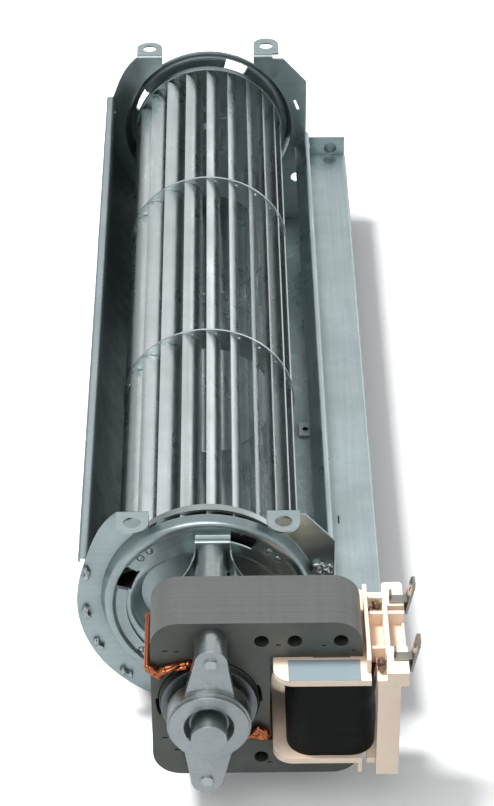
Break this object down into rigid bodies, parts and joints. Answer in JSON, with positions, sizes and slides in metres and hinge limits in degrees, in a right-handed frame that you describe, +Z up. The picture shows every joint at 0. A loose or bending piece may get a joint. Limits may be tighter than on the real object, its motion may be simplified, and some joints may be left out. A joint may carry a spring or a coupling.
{
  "type": "cross flow fan",
  "caption": "Tangential blower: long bladed impeller in a bent sheet scroll housing between pressed end plates, with a shaded-pole C-frame motor on one end.",
  "frame": {"origin": "bottom centre of the bounding box; the end plates stand on Z = 0", "axes": "+Y along the fan axis away from the motor, +Z up to the inlet and the fixing tabs, +X the side where the air leaves"},
  "size_m": [0.1052, 0.3846, 0.08],
  "materials": {
    "aluminium_cage": "cast",
    "black_tape": "wound cloth tape",
    "copper": "bare wire",
    "cream_nylon": "moulded, satin",
    "die_cast_zinc": "as cast",
    "galvanised_blade": "galvanised strip, dull",
    "galvanised_sheet": "hot-dip galvanised, dull with light scratches",
    "label_film": "plain film, bare",
    "lamination": "punched electrical steel, oiled grey",
    "rubber": "matt",
    "sintered_bronze": "oiled",
    "steel_bright": "ground or zinc plated",
    "tinned_brass": "tinned"
  },
  "bodies": {
    "housing": {"scroll_housing": "galvanised_sheet", "tongue_plate": "galvanised_sheet", "motor_end_plate": "galvanised_sheet", "bearing_end_plate": "galvanised_sheet", "motor_mount_dish": "galvanised_sheet", "bearing_dish": "galvanised_sheet", "outlet_strut": "galvanised_sheet", "strut_rivets": "steel_bright", "far_rubber_mount": "rubber", "far_bearing_bush": "sintered_bronze", "far_retainer_ring": "galvanised_sheet", "far_retainer_rivets": "steel_bright", "stator_core": "lamination", "coil_limb": "lamination", "shading_rings": "copper", "front_bracket": "die_cast_zinc", "rear_bracket": "die_cast_zinc", "front_bearing_bush": "sintered_bronze", "rear_bearing_bush": "sintered_bronze", "bracket_rivets": "steel_bright", "motor_mount_screws": "steel_bright", "bobbin": "cream_nylon", "coil_winding": "black_tape", "coil_leads": "copper", "spade_terminals": "tinned_brass", "blank_label": "label_film"},
    "wheel": {"impeller_blades": "galvanised_blade", "impeller_disc_motor": "galvanised_sheet", "impeller_ring_motor_side": "galvanised_sheet", "impeller_ring_bearing_side": "galvanised_sheet", "impeller_disc_bearing": "galvanised_sheet", "impeller_hub": "die_cast_zinc", "hub_set_screw": "steel_bright", "impeller_stub": "steel_bright", "hub_rivets": "steel_bright", "motor_shaft": "steel_bright", "rotor_core": "lamination", "rotor_cage": "aluminium_cage", "shaft_spacers": "cream_nylon"}
  },
  "joints": [
    {"name": "impeller_spin", "type": "hinge", "parent": "housing", "child": "wheel", "pos_m": [-0.01046, 0, 0.0462], "axis": [0, 1, 0], "continuous": true}
  ]
}
